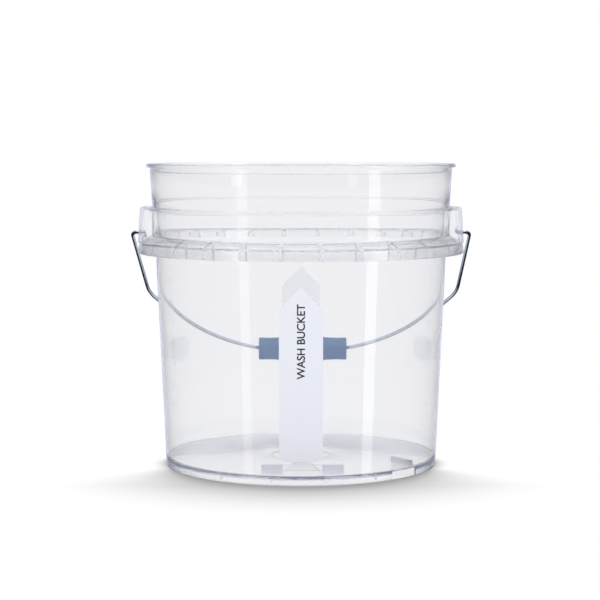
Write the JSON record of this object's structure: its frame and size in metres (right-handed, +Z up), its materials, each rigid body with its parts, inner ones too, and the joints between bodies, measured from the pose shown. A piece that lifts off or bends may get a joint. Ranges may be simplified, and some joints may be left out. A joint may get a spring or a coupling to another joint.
{
  "type": "wash bucket",
  "caption": "Clear moulded wash bucket with a ribbed stacking skirt, swinging wire bail, rolling grip and a pointed label.",
  "frame": {"origin": "centre of the base on the bucket's axis, on the surface it stands on", "axes": "+Z up the bucket's axis, +X along the bail's pivot axis towards the right ear, -Y towards the label; the bail hangs at +Y"},
  "size_m": [0.3337, 0.324, 0.2944],
  "materials": {
    "clear_plastic": "clear, glossy, injection moulded",
    "grey_film": "satin film",
    "white_film": "satin film",
    "dark_steel": "dark wire, satin",
    "blue_plastic": "satin, injection moulded"
  },
  "bodies": {
    "bucket": {"bucket_floor": "clear_plastic", "lower_wall": "clear_plastic", "upper_wall": "clear_plastic", "skirt": "clear_plastic", "ear_right": "clear_plastic", "ear_left": "clear_plastic", "label_backing": "grey_film", "label_panel": "white_film"},
    "bail": {"bail_wire": "dark_steel"},
    "grip": {"grip": "blue_plastic"}
  },
  "joints": [
    {"name": "bail_swing", "type": "hinge", "parent": "bucket", "child": "bail", "pos_m": [0, 0, 0.2274], "axis": [1, 0, 0], "range_deg": [0, 260]},
    {"name": "grip_roll", "type": "hinge", "parent": "bail", "child": "grip", "pos_m": [0.002, 0.15079, 0.0954], "axis": [1, 0, 0], "continuous": true}
  ]
}
